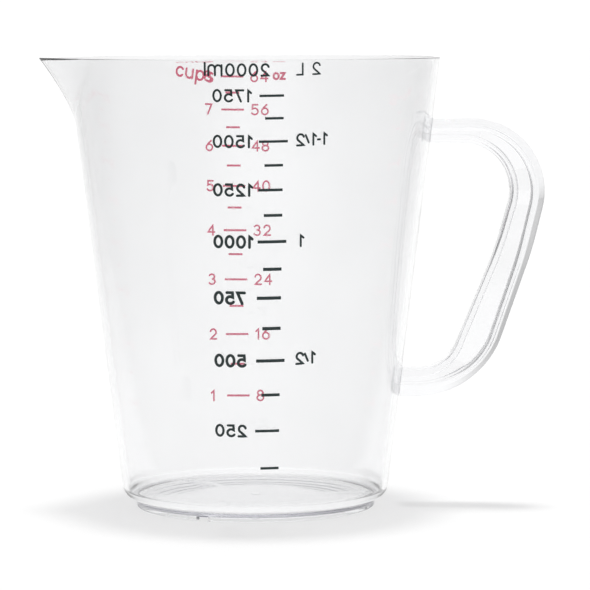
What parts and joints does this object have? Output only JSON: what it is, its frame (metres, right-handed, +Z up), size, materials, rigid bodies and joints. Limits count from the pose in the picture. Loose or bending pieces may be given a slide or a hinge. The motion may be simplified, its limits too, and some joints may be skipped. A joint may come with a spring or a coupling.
{
  "type": "measuring jug",
  "caption": "Clear plastic measuring jug with a tapered body, a V-shaped pouring lip, a D-shaped handle, a foot ring and printed volume scales.",
  "frame": {"origin": "on the surface the jug stands on, midway between the tip of the lip and the back of the handle", "axes": "+X from the lip towards the handle, +Z up, +Y to the left of someone who looks along +X"},
  "size_m": [0.1998, 0.1472, 0.1782],
  "materials": {
    "clear_body": "clear glossy plastic",
    "clear_handle": "clear glossy plastic",
    "black_ink": "screen printed ink",
    "red_ink": "screen printed ink"
  },
  "bodies": {
    "root": {"jug_body": "clear_body", "handle": "clear_handle", "metric_scale_print": "black_ink", "us_scale_print": "red_ink"}
  },
  "joints": []
}
